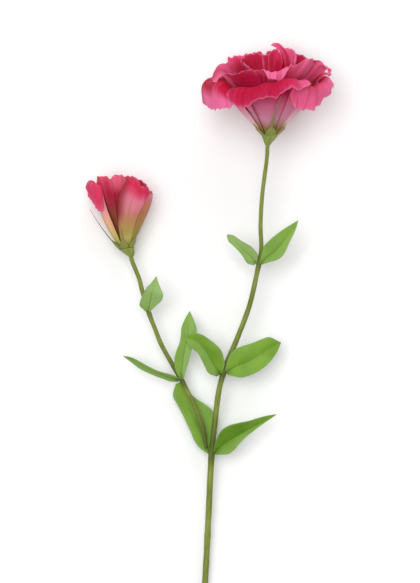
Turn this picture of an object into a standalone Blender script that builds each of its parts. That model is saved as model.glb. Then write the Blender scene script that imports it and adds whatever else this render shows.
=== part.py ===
"""A cut lisianthus stem with one open double bloom and one half-open bud, lying on a table.

The stem lies along +Y with its flowers at the far end, and +Z is up from the table.
All tables below are in millimetres and degrees. A flower is modelled about its own axis (local +Z, front
towards local -Y) and is then laid down by the rotation of the empty that it is parented to.
"""

import math

import bpy
import numpy as np
from mathutils import Euler, Vector

MM = 0.001

PETAL_THICKNESS = 0.4
SEPAL_THICKNESS = 0.5
LEAF_THICKNESS = 0.5
SEAT_GAP = 0.3

PETAL_PINK = (0.72, 0.07, 0.18)
BUD_PINK = (0.74, 0.12, 0.22)
LEAF_GREEN = (0.18, 0.34, 0.06)
STEM_GREEN = (0.16, 0.22, 0.05)
CALYX_GREEN = (0.22, 0.30, 0.07)
STIGMA_GREEN = (0.45, 0.55, 0.12)
ANTHER_YELLOW = (0.75, 0.55, 0.10)

# Petals stand in whorls around a flower's axis. Every whorl gives where its petals start on the
# receptacle (radius, height), the half angle that a petal takes up at its base and higher up, how round
# its top corners are, how far its edges stand inside and outside its neighbours' (at the base and at
# PROFILE_END), and the waves of its rim: their depth and how many go round the flower.
# A petal is its azimuth (0 faces up from the table, 90 is to the right), its length, and its angles from
# the flower's axis at every PROFILE_STEP along it. Between two petals the angles change smoothly.
PROFILE_STEP = 15.0
PROFILE_END = 75.0
PROFILE_SAMPLES = 24
BLOOM_WHORLS = {
    "bloom_outer_petal": {
        "base": (5.2, 9.15), "half_angle": (33.0, 46.0), "corner": 0.22, "stagger": (0.3, 2.3),
        "wave": (1.8, 13), "grid": (12, 12),
        "petals": ((-2.0, 65.0, (29.0, 31.0, 35.0, 66.0, 156.0, 168.0)),
                   (65.0, 69.0, (31.0, 33.0, 35.0, 44.0, 150.0, 170.0)),
                   (138.0, 49.0, (42.0, 47.0, 50.0, 62.0, 90.0, 96.0)),
                   (214.0, 50.0, (42.0, 47.0, 50.0, 62.0, 90.0, 96.0)),
                   (292.0, 71.0, (29.0, 31.0, 33.0, 46.0, 158.0, 172.0))),
    },
    "bloom_middle_petal": {
        "base": (4.2, 9.6), "half_angle": (33.0, 54.0), "corner": 0.20, "stagger": (0.3, 2.0),
        "wave": (1.6, 13), "grid": (12, 8),
        "petals": ((20.0, 53.0, (18.0, 22.0, 26.0, 29.0, 46.0, 60.0)),
                   (92.0, 56.0, (20.0, 27.0, 31.0, 40.0, 66.0, 84.0)),
                   (164.0, 58.0, (20.0, 26.0, 32.0, 38.0, 50.0, 60.0)),
                   (236.0, 57.0, (20.0, 29.0, 36.0, 44.0, 60.0, 70.0)),
                   (308.0, 51.0, (18.0, 24.0, 28.0, 32.0, 52.0, 70.0))),
    },
    "bloom_inner_petal": {
        "base": (3.2, 9.85), "half_angle": (33.0, 62.0), "corner": 0.20, "stagger": (0.3, 2.0),
        "wave": (1.2, 11), "grid": (10, 7),
        "petals": ((-14.0, 45.0, (7.0, 11.0, 15.0, 20.0, 30.0, 36.0)),
                   (58.0, 47.0, (7.0, 11.0, 15.0, 20.0, 30.0, 36.0)),
                   (146.0, 60.0, (7.0, 11.0, 15.0, 20.0, 30.0, 36.0)),
                   (202.0, 53.0, (7.0, 11.0, 15.0, 20.0, 34.0, 40.0)),
                   (274.0, 47.0, (7.0, 11.0, 15.0, 20.0, 30.0, 36.0))),
    },
}
BUD_WHORLS = {
    "bud_outer_petal": {
        "base": (4.0, 7.0), "half_angle": (33.0, 50.0), "corner": 0.20, "stagger": (0.3, 1.7),
        "wave": (1.4, 13), "grid": (8, 7),
        "petals": ((2.0, 51.0, (15.0, 30.0, 25.0, -4.0, -10.0, -10.0)),
                   (74.0, 44.0, (15.0, 30.0, 27.0, -8.0, -20.0, -20.0)),
                   (146.0, 47.0, (14.0, 28.0, 22.0, -4.0, -10.0, -10.0)),
                   (218.0, 48.0, (14.0, 28.0, 26.0, 8.0, 4.0, 4.0)),
                   (290.0, 49.0, (16.0, 29.0, 33.0, 24.0, 40.0, 60.0))),
    },
    "bud_inner_petal": {
        "base": (3.0, 7.45), "half_angle": (46.0, 66.0), "corner": 0.20, "stagger": (0.3, 1.4),
        "wave": (1.0, 11), "grid": (8, 7),
        "petals": ((40.0, 45.0, (8.0, 22.0, 18.0, 0.0, -6.0, -6.0)),
                   (160.0, 46.0, (8.0, 22.0, 18.0, 0.0, -6.0, -6.0)),
                   (280.0, 45.0, (8.0, 22.0, 20.0, 4.0, 0.0, 0.0))),
    },
}
# Sepals lie against the outer petals. Each is its azimuth, length, half width at its base, and how far
# its tip stands away from the petals.
SEPAL_CLEARANCE = 0.75
BLOOM_SEPALS = ((6.0, 36.0, 2.3, 0.0), (82.0, 16.0, 2.8, 0.0), (150.0, 24.0, 2.4, 0.0),
                (222.0, 24.0, 2.4, 0.0), (296.0, 15.0, 2.8, 0.0))
BUD_SEPALS = ((30.0, 24.0, 2.1, 0.0), (88.0, 23.0, 2.1, 0.0), (158.0, 26.0, 2.1, 0.0),
              (218.0, 26.0, 1.9, 1.0), (274.0, 34.0, 1.9, 8.0))

# Turned shapes: (distance along the axis, radius).
BLOOM_RECEPTACLE = ((0.0, 1.2), (1.5, 1.9), (4.0, 3.4), (6.5, 4.9), (7.7, 5.6), (8.3, 5.6), (8.85, 4.9),
                    (9.2, 3.8), (9.4, 2.4), (9.5, 0.6))
BUD_RECEPTACLE = ((0.0, 1.2), (1.4, 1.8), (3.6, 3.1), (5.4, 4.2), (6.2, 4.4), (6.7, 3.8), (7.0, 2.6),
                  (7.1, 0.6))
PISTIL = ((0.0, 1.0), (2.0, 1.3), (6.0, 1.3), (9.5, 1.0), (12.0, 0.6), (15.0, 0.55), (17.0, 1.2),
          (18.2, 1.6), (19.0, 1.0))
STAMEN_BASE_RADIUS = 2.0
STAMEN_TIP_RADIUS = 4.2
STAMEN = ((0.0, 0.28), (6.0, 0.28), (11.0, 0.3), (12.0, 0.7), (14.0, 0.85), (16.0, 0.6), (16.6, 0.3))
STAMEN_COUNT = 5

# Where each flower stands (x, y of its receptacle's foot), how far its axis is raised from the level, and
# how far it leans to the left.
BLOOM_FOOT = (37.4, 331.8)
BLOOM_RAISE = 12.0
BLOOM_LEAN = 0.0
BUD_FOOT = (-51.0, 261.0)
BUD_RAISE = 6.0
BUD_LEAN = 7.0

# Stem routes seen from above, (x, y), and radii along them, (y, radius). Their heights come from the
# flowers.
MAIN_ROUTE = ((-6.3, 0.0), (-3.2, 55.5), (-1.2, 92.6), (0.8, 129.2), (3.2, 153.3), (5.7, 175.5),
              (11.2, 192.4), (17.4, 206.5), (25.6, 228.9), (30.2, 249.9), (33.2, 265.3), (32.8, 281.0),
              (33.8, 300.0))
MAIN_RADII = ((0.0, 1.95), (120.0, 1.8), (132.0, 2.0), (142.0, 1.6), (180.0, 1.5), (186.0, 1.75),
              (194.0, 1.45), (250.0, 1.3), (257.0, 1.5), (264.0, 1.15), (335.0, 1.05))
SIDE_ROUTE = ((-2.4, 137.0), (-4.6, 149.6), (-7.9, 158.9), (-12.3, 169.0), (-17.8, 180.1),
              (-24.8, 192.4), (-31.1, 204.2), (-35.7, 215.2), (-38.9, 223.4), (-43.9, 238.0))
SIDE_RADII = ((137.0, 1.0), (146.0, 1.4), (176.0, 1.35), (180.0, 1.6), (185.0, 1.3), (219.0, 1.2),
              (224.0, 1.4), (229.0, 1.15), (262.0, 1.1))
NECK = 9.0
STEM_BOW = 1.15

# Leaves: the stem and the height along it where the leaf sits, the side that it leaves from (0 up from
# the table, 90 right), its half width, how far its face is turned about its midline at the base and at the
# tip, how far its halves fold up from its midrib, and its midline as offsets from where it sits.
LEAVES = {
    "fork_leaf_right": {
        "stem": "main_stem", "at": 131.0, "side": 25.0, "half_width": 9.4, "turn": (20.0, 38.0),
        "fold": 20.0, "midline": ((0.0, 0.0, 0.0), (9.0, 6.0, 3.0), (20.0, 14.0, 5.0), (31.0, 21.0, 4.0),
                                  (41.0, 26.5, 1.0)),
    },
    "fork_leaf_left": {
        "stem": "main_stem", "at": 129.0, "side": 190.0, "half_width": 12.0, "turn": (0.0, 0.0),
        "fold": 0.0, "midline": ((0.0, 0.0, 0.0), (-4.5, 12.0, -1.6), (-9.5, 25.0, -3.4),
                                 (-15.5, 37.0, -4.0), (-21.0, 48.0, -4.0)),
    },
    "middle_leaf_right": {
        "stem": "main_stem", "at": 186.0, "side": 12.0, "half_width": 9.8, "turn": (4.0, 0.0),
        "fold": 8.0, "midline": ((0.0, 0.0, 0.0), (8.0, 3.4, 2.0), (17.0, 8.0, 3.0), (27.0, 13.5, 1.0),
                                 (36.5, 19.0, -4.0)),
    },
    "middle_leaf_left": {
        "stem": "main_stem", "at": 186.0, "side": 285.0, "half_width": 9.6, "turn": (-20.0, -38.0),
        "fold": 12.0, "midline": ((0.0, 0.0, 0.0), (-6.0, 4.0, 2.5), (-11.0, 13.0, 6.0),
                                  (-16.0, 22.0, 8.0), (-24.0, 26.0, 7.0)),
    },
    "upper_leaf_right": {
        "stem": "main_stem", "at": 257.0, "side": 12.0, "half_width": 7.4, "turn": (10.0, 0.0),
        "fold": 10.0, "midline": ((0.0, 0.0, 0.0), (6.0, 4.5, 1.5), (12.5, 11.5, 2.5), (18.5, 19.0, 2.0),
                                  (23.5, 27.5, 0.0)),
    },
    "upper_leaf_left": {
        "stem": "main_stem", "at": 257.0, "side": 290.0, "half_width": 6.2, "turn": (-40.0, -30.0),
        "fold": 14.0, "midline": ((0.0, 0.0, 0.0), (-4.5, 4.0, 2.0), (-9.5, 10.0, 3.5), (-14.5, 15.5, 2.0),
                                  (-19.0, 19.5, -4.0)),
    },
    "side_leaf_low": {
        "stem": "side_branch", "at": 180.0, "side": 275.0, "half_width": 6.6, "turn": (-56.0, -62.0),
        "fold": 10.0, "midline": ((0.0, 0.0, 0.0), (-9.0, 1.5, 2.0), (-18.0, 4.5, 3.0), (-27.0, 10.0, 2.5),
                                  (-36.5, 15.5, 1.0)),
    },
    "side_leaf_tall": {
        "stem": "side_branch", "at": 181.0, "side": 20.0, "half_width": 7.2, "turn": (24.0, -16.0),
        "fold": 12.0, "midline": ((0.0, 0.0, 0.0), (0.5, 9.0, 1.0), (1.5, 20.0, 1.0), (3.5, 32.0, 0.0),
                                  (5.5, 44.5, -2.0)),
    },
    "side_leaf_small": {
        "stem": "side_branch", "at": 224.0, "side": 10.0, "half_width": 8.0, "turn": (0.0, 0.0),
        "fold": 8.0, "midline": ((0.0, 0.0, 0.0), (1.5, 5.0, 4.5), (3.5, 11.0, 9.5), (4.6, 17.5, 13.0),
                                 (5.6, 24.0, 14.5)),
    },
}

SEPAL_GRID = (2, 6)
LEAF_GRID = (4, 8)
STEPS_PER_SPAN = 3


def clear_scene():
    for old in list(bpy.data.objects):
        bpy.data.objects.remove(old)


def make_material(name, colour, roughness):
    material = bpy.data.materials.new(name)
    material.use_nodes = True
    shader = material.node_tree.nodes["Principled BSDF"]
    shader.inputs["Base Color"].default_value = (*colour, 1.0)
    shader.inputs["Roughness"].default_value = roughness
    shader.inputs["Metallic"].default_value = 0.0
    return material


def add_object(name, data, material, parent=None):
    data.materials.append(material)
    made = bpy.data.objects.new(name, data)
    made.parent = parent
    bpy.context.scene.collection.objects.link(made)
    return made


def sheet(name, points, thickness, material, parent=None):
    """A thin solid around a grid of points (rows, columns, xyz) in millimetres."""
    rows, columns = points.shape[:2]
    index = np.arange(rows * columns).reshape(rows, columns)
    corners = (index[:-1, :-1], index[1:, :-1], index[1:, 1:], index[:-1, 1:])
    faces = np.stack(corners, axis=-1).reshape(-1, 4)
    mesh = bpy.data.meshes.new(name)
    mesh.from_pydata((points.reshape(-1, 3) * MM).tolist(), [], faces.tolist())
    mesh.shade_smooth()
    made = add_object(name, mesh, material, parent)
    solid = made.modifiers.new("Thickness", "SOLIDIFY")
    solid.thickness = thickness * MM
    solid.offset = 0.0
    return made


def tube(name, points, radii, material, parent=None, sides=8):
    """A round bar of changing radius along a list of points, with flat ends."""
    curve = bpy.data.curves.new(name, "CURVE")
    curve.dimensions = "3D"
    curve.bevel_depth = MM
    curve.bevel_resolution = (sides - 4) // 2
    curve.use_fill_caps = True
    spline = curve.splines.new("POLY")
    spline.points.add(len(points) - 1)
    for place, point, radius in zip(spline.points, points, radii):
        place.co = (*(Vector(point) * MM), 1.0)
        place.radius = radius
    spline.use_smooth = True
    return add_object(name, curve, material, parent)


def turned(name, profile, foot, material, parent, sides=12):
    """A tube along the flower's axis from a (distance, radius) profile, standing at a foot height."""
    points = [(0.0, 0.0, foot + distance) for distance, _ in profile]
    return tube(name, points, [radius for _, radius in profile], material, parent, sides)


def smooth_route(points, steps):
    """Points on a Catmull-Rom curve through the given points, a few for each span."""
    ends = [2 * points[0] - points[1], *points, 2 * points[-1] - points[-2]]
    route = []
    for before, start, end, after in zip(ends, ends[1:], ends[2:], ends[3:]):
        for step in range(steps):
            t = step / steps
            route.append(0.5 * (2 * start + t * (end - before)
                                + t**2 * (2 * before - 5 * start + 4 * end - after)
                                + t**3 * (3 * start - before - 3 * end + after)))
    return [*route, points[-1]]


def blend_angles(petals, azimuth):
    """The four profile angles at an azimuth, changing smoothly from each petal's middle to the next one's."""
    middles = np.array([petal[0] for petal in petals])
    angles = np.array([petal[2] for petal in petals])
    order = np.argsort(middles % 360.0)
    middles = middles[order] % 360.0
    angles = angles[order]
    middles = np.concatenate([[middles[-1] - 360.0], middles, [middles[0] + 360.0]])
    angles = np.concatenate([angles[-1:], angles, angles[:1]])
    turn = azimuth % 360.0
    after = np.clip(np.searchsorted(middles, turn, side="right"), 1, len(middles) - 1)
    share = (turn - middles[after - 1]) / (middles[after] - middles[after - 1])
    share = (share * share * (3.0 - 2.0 * share))[..., None]
    return angles[after - 1] * (1.0 - share) + angles[after] * share


def profile_angle(angles, along):
    """The angle from the axis at a distance along a petal, in straight lines between the steps."""
    angle = 0.0
    for number in range(angles.shape[-1]):
        nearness = np.clip(1.0 - np.abs(along / PROFILE_STEP - number), 0.0, 1.0)
        angle = angle + angles[..., number] * nearness
    return np.radians(angle)


def place_on_flower(base, angles, azimuth, along, offset):
    """The point at a distance along a petal and an offset outwards from it, at an azimuth in degrees."""
    samples = (np.arange(PROFILE_SAMPLES) + 0.5) / PROFILE_SAMPLES
    slopes = profile_angle(angles[..., None, :], along[..., None] * samples)
    ending = profile_angle(angles, along)
    radius = base[0] + along * np.sin(slopes).mean(axis=-1) + offset * np.cos(ending)
    height = base[1] + along * np.cos(slopes).mean(axis=-1) - offset * np.sin(ending)
    turn = np.radians(azimuth)
    return np.stack([radius * np.sin(turn), -radius * np.cos(turn), height], axis=-1)


def edge_offset(whorl, azimuth, along, across):
    """How far a petal stands outside the middle sheet of its whorl: its stagger and its waves."""
    reach = along / PROFILE_END
    close, far = whorl["stagger"]
    depth, waves = whorl["wave"]
    return across * (close + (far - close) * reach) + depth * reach**2 * np.sin(np.radians(azimuth) * waves)


def petal_points(whorl, petal):
    """A petal as a grid of points: its edges lie a little inside and outside its neighbours'."""
    middle, length, _ = petal
    columns, rows = whorl["grid"]
    across = np.linspace(-1.0, 1.0, columns + 1)[:, None]
    along = length * np.linspace(0.0, 1.0, rows + 1)[None, :] * (1.0 - whorl["corner"] * np.abs(across) ** 3)
    widening = np.sin(np.minimum(along / (0.45 * PROFILE_END), 1.0) * math.pi / 2)
    narrow, wide = whorl["half_angle"]
    azimuth = middle + across * (narrow + (wide - narrow) * widening)
    angles = blend_angles(whorl["petals"], azimuth)
    return place_on_flower(whorl["base"], angles, azimuth, along, edge_offset(whorl, azimuth, along, across))


def sepal_points(whorl, sepal):
    """A narrow pointed sepal as a grid of points, just outside the petals of a whorl."""
    middle, length, half_width, stand_off = sepal
    across = np.linspace(-1.0, 1.0, SEPAL_GRID[0] + 1)[:, None]
    share = np.linspace(0.0, 1.0, SEPAL_GRID[1] + 1)[None, :]
    along = length * share + 0.0 * across
    radius = whorl["base"][0] + 1.0 + along * math.sin(math.radians(35.0))
    width = half_width * (1.0 - 0.86 * share**0.8)
    azimuth = middle + np.degrees(across * width / radius)
    offset = SEPAL_CLEARANCE + edge_offset(whorl, azimuth, along, 1.0) + stand_off * share**1.5
    angles = blend_angles(whorl["petals"], azimuth)
    return place_on_flower(whorl["base"], angles, azimuth, along, offset)


def make_whorls(whorls, material, head):
    for name, whorl in whorls.items():
        for number, petal in enumerate(whorl["petals"], start=1):
            sheet(f"{name}_{number}", petal_points(whorl, petal), PETAL_THICKNESS, material, head)


def make_sepals(name, whorl, sepals, material, head):
    for number, sepal in enumerate(sepals, start=1):
        sheet(f"{name}_{number}", sepal_points(whorl, sepal), SEPAL_THICKNESS, material, head)


def make_stamens(foot, material, head):
    for number in range(STAMEN_COUNT):
        turn = math.tau * (number + 0.5) / STAMEN_COUNT
        points = []
        for distance, _ in STAMEN:
            lean = (distance / STAMEN[-1][0]) ** 2
            reach = STAMEN_BASE_RADIUS + (STAMEN_TIP_RADIUS - STAMEN_BASE_RADIUS) * lean
            points.append((reach * math.sin(turn), -reach * math.cos(turn), foot + distance))
        tube(f"bloom_stamen_{number + 1}", points, [radius for _, radius in STAMEN], material, head)


def make_head(name, foot, raised, lean):
    """The empty that lays a flower down: its axis along +Y, raised towards +Z, leaning towards -X."""
    head = bpy.data.objects.new(name, None)
    head.rotation_euler = Euler((math.radians(raised - 90.0), 0.0, math.radians(lean)))
    head.location = (foot[0] * MM, foot[1] * MM, 0.0)
    bpy.context.scene.collection.objects.link(head)
    return head


def world_corners(objects):
    """Lowest and highest corner of the objects, as their modifiers leave them."""
    bpy.context.view_layer.update()
    graph = bpy.context.evaluated_depsgraph_get()
    lows, highs = [], []
    for made in objects:
        evaluated = made.evaluated_get(graph)
        mesh = evaluated.to_mesh()
        points = np.empty(len(mesh.vertices) * 3, np.float32)
        mesh.vertices.foreach_get("co", points)
        evaluated.to_mesh_clear()
        world = np.array(evaluated.matrix_world)
        points = points.reshape(-1, 3) @ world[:3, :3].T + world[:3, 3]
        lows.append(points.min(axis=0))
        highs.append(points.max(axis=0))
    return np.min(lows, axis=0), np.max(highs, axis=0)


def rest_on_table(head):
    """Raises a flower until its lowest petal just touches the table."""
    lowest, _ = world_corners(head.children)
    head.location.z -= float(lowest[2])
    bpy.context.view_layer.update()


def stem_points(route, start_height, head):
    """A route from its first point, at the given height, up to the foot of a flower and along its axis."""
    foot = head.matrix_world.translation / MM
    axis = head.matrix_world.to_3x3() @ Vector((0.0, 0.0, 1.0))
    neck = foot - NECK * axis
    first = route[0][1]
    points = []
    for x, y in route:
        share = (y - first) / (neck.y - first)
        points.append(Vector((x, y, start_height + (neck.z - start_height) * share**STEM_BOW)))
    points += [neck, foot - SEAT_GAP * axis]
    return smooth_route(points, STEPS_PER_SPAN)


def make_stem(name, points, radii, material):
    heights, widths = zip(*radii)
    return tube(name, points, [float(np.interp(point.y, heights, widths)) for point in points], material)


def place_on(points, y):
    """The point of a stem's centreline at the given y."""
    table = np.array([tuple(point) for point in points])
    return np.array([np.interp(y, table[:, 1], table[:, axis]) for axis in range(3)])


def leaf_points(leaf, stem, radii):
    """A leaf as a grid: a width carried along its midline, folded up a little on both sides of the midrib."""
    side = math.radians(leaf["side"])
    radius = float(np.interp(leaf["at"], *zip(*radii)))
    clear = radius + SEAT_GAP + LEAF_THICKNESS / 2
    base = place_on(stem, leaf["at"]) + clear * np.array((math.sin(side), 0.0, math.cos(side)))
    route = smooth_route([Vector(base) + Vector(offset) for offset in leaf["midline"]], 2)
    middle = np.array([tuple(point) for point in route])
    ahead = np.gradient(middle, axis=0)
    ahead /= np.linalg.norm(ahead, axis=1, keepdims=True)
    share = np.linspace(0.0, 1.0, len(middle))
    turn = np.radians(leaf["turn"][0] + (leaf["turn"][1] - leaf["turn"][0]) * share)[:, None]
    level = np.cross(ahead, (0.0, 0.0, 1.0))
    level /= np.linalg.norm(level, axis=1, keepdims=True)
    up = np.cross(level, ahead)
    across_way = level * np.cos(turn) - up * np.sin(turn)
    face_way = up * np.cos(turn) + level * np.sin(turn)
    across = np.linspace(-1.0, 1.0, LEAF_GRID[0] + 1)[None, :, None]
    width = leaf["half_width"] * (0.12 * (1 - share) ** 3 + np.sin(math.pi * share**0.78) ** 0.9 + 0.02)
    reach = across * width[:, None, None]
    lift = np.abs(reach) * math.tan(math.radians(leaf["fold"]))
    return middle[:, None] + across_way[:, None] * reach + face_way[:, None] * lift


def make_leaf(name, leaf, stems, material):
    points, radii = stems[leaf["stem"]]
    sheet(name, leaf_points(leaf, points, radii), LEAF_THICKNESS, material)


def centre_on_origin(objects):
    """Moves everything so that the origin is the middle of the underside of the whole."""
    lowest, highest = world_corners(objects)
    middle = (lowest + highest) / 2
    for made in bpy.context.scene.objects:
        if made.parent is None:
            made.location -= Vector((float(middle[0]), float(middle[1]), float(lowest[2])))
    bpy.context.view_layer.update()


def build():
    clear_scene()
    petal_pink = make_material("petal_pink", PETAL_PINK, 0.55)
    bud_pink = make_material("bud_pink", BUD_PINK, 0.55)
    leaf_green = make_material("leaf_green", LEAF_GREEN, 0.5)
    stem_green = make_material("stem_green", STEM_GREEN, 0.5)
    calyx_green = make_material("calyx_green", CALYX_GREEN, 0.5)
    stigma_green = make_material("stigma_green", STIGMA_GREEN, 0.5)
    anther_yellow = make_material("anther_yellow", ANTHER_YELLOW, 0.7)

    bloom = make_head("bloom", BLOOM_FOOT, BLOOM_RAISE, BLOOM_LEAN)
    turned("bloom_receptacle", BLOOM_RECEPTACLE, 0.0, calyx_green, bloom)
    make_whorls(BLOOM_WHORLS, petal_pink, bloom)
    make_sepals("bloom_sepal", BLOOM_WHORLS["bloom_outer_petal"], BLOOM_SEPALS, calyx_green, bloom)
    heart = BLOOM_RECEPTACLE[-1][0] + SEAT_GAP
    turned("bloom_pistil", PISTIL, heart, stigma_green, bloom, sides=10)
    make_stamens(heart, anther_yellow, bloom)
    rest_on_table(bloom)

    bud = make_head("bud", BUD_FOOT, BUD_RAISE, BUD_LEAN)
    turned("bud_receptacle", BUD_RECEPTACLE, 0.0, calyx_green, bud)
    make_whorls(BUD_WHORLS, bud_pink, bud)
    make_sepals("bud_sepal", BUD_WHORLS["bud_outer_petal"], BUD_SEPALS, calyx_green, bud)
    rest_on_table(bud)

    main_points = stem_points(MAIN_ROUTE, MAIN_RADII[0][1], bloom)
    fork_height = float(place_on(main_points, SIDE_ROUTE[0][1])[2])
    side_points = stem_points(SIDE_ROUTE, fork_height, bud)
    make_stem("main_stem", main_points, MAIN_RADII, stem_green)
    make_stem("side_branch", side_points, SIDE_RADII, stem_green)
    stems = {"main_stem": (main_points, MAIN_RADII), "side_branch": (side_points, SIDE_RADII)}
    for name, leaf in LEAVES.items():
        make_leaf(name, leaf, stems, leaf_green)

    centre_on_origin([made for made in bpy.context.scene.objects if made.type != "EMPTY"])


build()
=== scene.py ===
import math

import bpy
import numpy as np
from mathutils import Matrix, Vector


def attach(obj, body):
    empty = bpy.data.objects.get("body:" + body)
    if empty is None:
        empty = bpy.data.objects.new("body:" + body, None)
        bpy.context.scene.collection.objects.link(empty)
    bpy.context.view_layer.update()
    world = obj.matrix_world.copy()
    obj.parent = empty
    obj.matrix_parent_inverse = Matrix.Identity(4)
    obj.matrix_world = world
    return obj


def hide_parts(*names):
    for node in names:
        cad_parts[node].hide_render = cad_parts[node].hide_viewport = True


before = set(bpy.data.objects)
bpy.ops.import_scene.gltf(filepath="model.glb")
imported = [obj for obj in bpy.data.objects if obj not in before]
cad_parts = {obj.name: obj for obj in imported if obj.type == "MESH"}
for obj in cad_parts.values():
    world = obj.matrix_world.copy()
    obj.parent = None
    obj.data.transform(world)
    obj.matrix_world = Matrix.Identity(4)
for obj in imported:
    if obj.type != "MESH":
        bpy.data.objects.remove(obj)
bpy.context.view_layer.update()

mm = 0.001
patternLength = 100.0  # millimetres along a stem, cup or sepal in one unit of its pattern
bowLength = 8.0  # millimetres above a flower's foot over which it bows sideways
print("packed spray loaded:", len(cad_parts), "nodes")


# grids, shells and tubes are whole arrays of points, in millimetres until they become a mesh

def gridFaces(rows, columns, start=0, closed=False):
    # quads between neighbouring points of a rows x columns grid; closed joins the last column to the first
    index = start + np.arange(rows * columns).reshape(rows, columns)
    if closed:
        index = np.concatenate([index, index[:, :1]], axis=1)
    corners = (index[:-1, :-1], index[1:, :-1], index[1:, 1:], index[:-1, 1:])
    return np.stack(corners, axis=-1).reshape(-1, 4)


def addMesh(name, points, faces, uv, marks, material, caps=()):
    # an object at the origin with its pattern's places as a UV map and three numbers a point as "mark"
    mesh = bpy.data.meshes.new(name)
    mesh.from_pydata((points * mm).tolist(), [], [*faces.tolist(), *caps])
    corner = np.empty(len(mesh.loops), np.int32)
    mesh.loops.foreach_get("vertex_index", corner)
    mesh.uv_layers.new(name="UVMap").data.foreach_set("uv", uv[corner].astype(np.float32).ravel())
    mark = mesh.attributes.new("mark", "FLOAT_VECTOR", "POINT")
    mark.data.foreach_set("vector", marks.astype(np.float32).ravel())
    mesh.shade_smooth()
    mesh.materials.append(material)
    piece = bpy.data.objects.new(name, mesh)
    bpy.context.scene.collection.objects.link(piece)
    return piece


def unit(vectors):
    return vectors / np.maximum(np.linalg.norm(vectors, axis=-1, keepdims=True), 1e-9)


def acrossAndAlong(columns, rows):
    # the two parameters of a sheet: -1..1 from edge to edge, and 0..1 from foot to rim
    across = np.linspace(-1, 1, columns + 1)[:, None]
    return across, np.linspace(0, 1, rows + 1)[None] + 0 * across


def shell(name, points, thickness, uv, tone, seed, material):
    # a closed thin body: the sheet moved half its thickness each way along its normal, which is the cross
    # product of its two directions, and a strip around the rim; its marks are 1 on the face that the normal
    # points to (a petal's outside, a leaf's underside), a tone, which carries painted light and shade on
    # petals and leaves, and a seed
    rows, columns = points.shape[:2]
    normal = unit(np.cross(np.gradient(points, axis=0), np.gradient(points, axis=1)))
    half = normal * thickness[..., None] / 2
    both = np.concatenate([(points + half).reshape(-1, 3), (points - half).reshape(-1, 3)])
    count = rows * columns
    front, back = gridFaces(rows, columns), gridFaces(rows, columns, count)[:, ::-1]
    index = np.arange(count).reshape(rows, columns)
    loop = np.concatenate([index[:-1, 0], index[-1, :-1], index[:0:-1, -1], index[0, :0:-1]])
    after = np.roll(loop, -1)
    rim = np.stack([after, loop, loop + count, after + count], axis=-1)
    marks = np.zeros((2, rows, columns, 3))
    marks[0, ..., 0] = 1
    marks[..., 1] = tone
    marks[..., 2] = 0.1 * seed
    faces = np.concatenate([front, back, rim])
    return addMesh(name, both, faces, np.tile(uv.reshape(-1, 2), (2, 1)), marks.reshape(-1, 3), material)


def curveThrough(points, perSpan):
    # Catmull-Rom curve: each span is a cubic through its two ends that leaves along its neighbours' chord
    points = np.asarray(points, float)
    padded = np.concatenate([[2 * points[0] - points[1]], points, [2 * points[-1] - points[-2]]])
    t = (np.arange(perSpan) / perSpan)[None, :, None]
    before, start, end, after = (padded[k:k + len(points) - 1, None] for k in range(4))
    spans = 0.5 * (2 * start + t * (end - before) + t**2 * (2 * before - 5 * start + 4 * end - after)
                   + t**3 * (3 * start - before - 3 * end + after))
    return np.concatenate([spans.reshape(-1, points.shape[1]), points[-1:]])


def aroundTurn(sides):
    # even angles once around
    return np.linspace(0, 2 * math.pi, sides, endpoint=False)


def closedTube(name, rings, material, shade=0):
    # rings of points skinned to a tube with a cap at each end; shade, one number a ring, is the second mark,
    # and the pattern's length is the distance travelled along the rings' middles
    count, sides = rings.shape[:2]
    steps = np.linalg.norm(np.diff(rings.mean(axis=1), axis=0), axis=1)
    travelled = np.concatenate([[0], np.cumsum(steps)])[:, None]
    uv = np.stack(np.broadcast_arrays(np.arange(sides)[None] / sides, travelled / patternLength), axis=-1)
    marks = np.zeros((count * sides, 3))
    marks[:, 1] = np.repeat(np.broadcast_to(shade, count), sides)
    caps = (list(range(sides)), list(range(count * sides - sides, count * sides))[::-1])
    faces = gridFaces(count, sides, closed=True)
    return addMesh(name, rings.reshape(-1, 3), faces, uv.reshape(-1, 2), marks, material, caps)


def tube(name, centre, radius, material, shade=0):
    # rings square to the centre line; radius has a row for each ring and a column for each side
    ahead = unit(np.gradient(centre, axis=0))
    right = unit(np.cross(ahead, (0, 0, 1)))
    up = np.cross(right, ahead)
    turn = aroundTurn(radius.shape[1])[None, :, None]
    ring = right[:, None] * np.cos(turn) + up[:, None] * np.sin(turn)
    return closedTube(name, centre[:, None] + ring * radius[..., None], material, shade)


def smoothStep(share):
    # three times its square less twice its cube, held between 0 and 1
    share = np.clip(share, 0, 1)
    return share * share * (3 - 2 * share)


def fromTable(places, table):
    # straight lines between the table's pairs of place and value
    return np.interp(places, *zip(*table))


def camelName(node):
    # main_stem becomes mainStem
    first, *others = node.split("_")
    return first + "".join(word.title() for word in others)


def layDown(points, flower):
    # a flower's own frame (axis +Z, front -Y), bowed sideways above its foot, then turned to lie along +Y,
    # raised, leaned and moved to its foot
    bowed = smoothStep(points[..., 2:] / bowLength) * (flower["bow"], 0, 0)
    tip, lean = math.radians(flower["raise"] - 90), math.radians(flower["lean"])
    aboutX = np.array([[1, 0, 0], [0, math.cos(tip), -math.sin(tip)], [0, math.sin(tip), math.cos(tip)]])
    aboutZ = np.array([[math.cos(lean), -math.sin(lean), 0], [math.sin(lean), math.cos(lean), 0],
                       [0, 0, 1]])
    return (points + bowed) @ (aboutZ @ aboutX).T + np.array(flower["foot"])


def finishPiece(piece, node):
    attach(piece, "root")
    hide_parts(node)


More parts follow.
